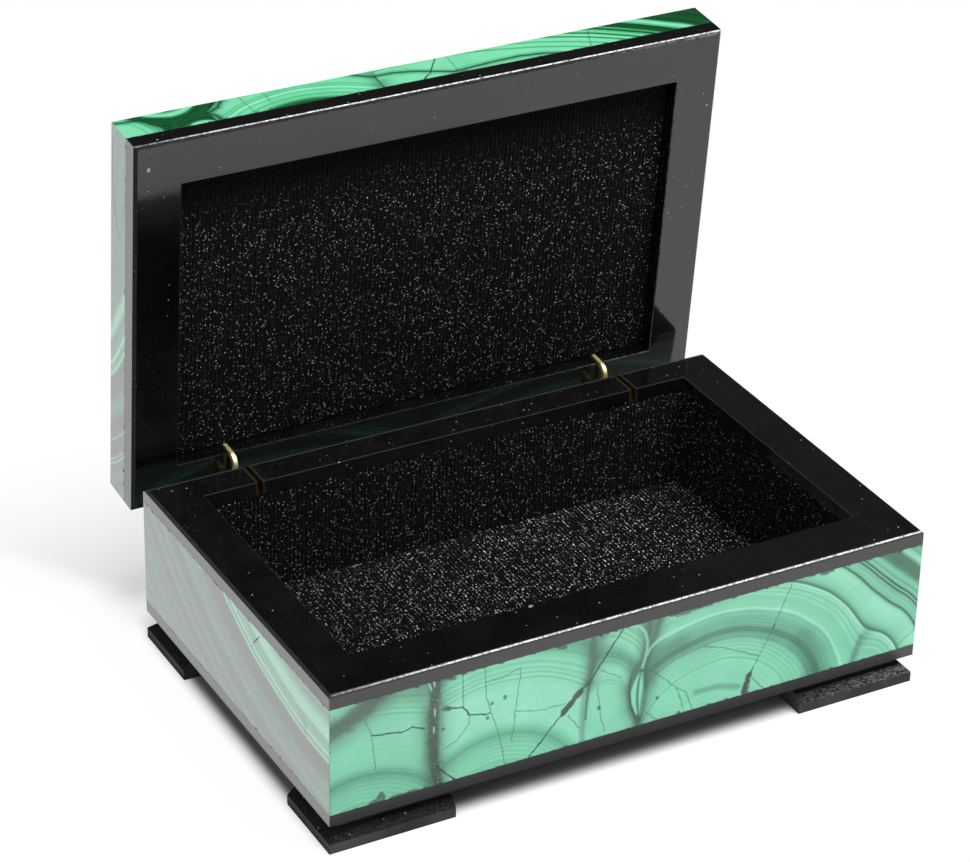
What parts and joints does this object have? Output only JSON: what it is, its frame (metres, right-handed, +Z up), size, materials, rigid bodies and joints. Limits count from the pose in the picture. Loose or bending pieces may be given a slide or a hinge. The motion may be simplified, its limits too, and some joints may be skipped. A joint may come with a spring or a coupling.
{
  "type": "stone jewelry box",
  "caption": "Low rectangular jewelry box of green banded malachite slabs on black stone, velvet-lined, with a lid on cranked brass hinges and bevelled feet.",
  "frame": {"origin": "middle of the box's footprint, on the surface that its feet stand on", "axes": "+X to the right seen from the front, +Y to the back, +Z up; the lid is open at rest"},
  "size_m": [0.16, 0.1244, 0.1361],
  "materials": {
    "black_stone": "polished black stone with fine pale specks",
    "malachite": "polished green malachite with curved light and dark bands and fine cracks",
    "velvet": "black ribbed velvet with small glints",
    "brass": "bright rolled brass strip, sawn edges"
  },
  "bodies": {
    "box": {"base_plate": "black_stone", "wall_front": "black_stone", "wall_back": "black_stone", "wall_left": "black_stone", "wall_right": "black_stone", "slab_front": "malachite", "slab_back": "malachite", "slab_left": "malachite", "slab_right": "malachite", "rim_plate": "black_stone", "rim_back_strip": "black_stone", "foot_front_left": "black_stone", "foot_front_right": "black_stone", "foot_back_left": "black_stone", "foot_back_right": "black_stone", "floor_lining": "velvet", "lining_front": "velvet", "lining_back": "velvet", "lining_left": "velvet", "lining_right": "velvet", "hinge_channel_left": "brass", "hinge_channel_right": "brass", "hinge_pin_left": "brass", "hinge_pin_right": "brass"},
    "lid": {"lid_frame": "black_stone", "lid_core": "black_stone", "lid_slab_front": "malachite", "lid_slab_back": "malachite", "lid_slab_left": "malachite", "lid_slab_right": "malachite", "lid_slab_top": "malachite", "lid_lining": "velvet", "hinge_arm_left": "brass", "hinge_arm_right": "brass"}
  },
  "joints": [
    {"name": "lid_hinge", "type": "hinge", "parent": "box", "child": "lid", "pos_m": [0, 0.0491, 0.0339], "axis": [1, 0, 0], "range_deg": [0, 85]}
  ]
}
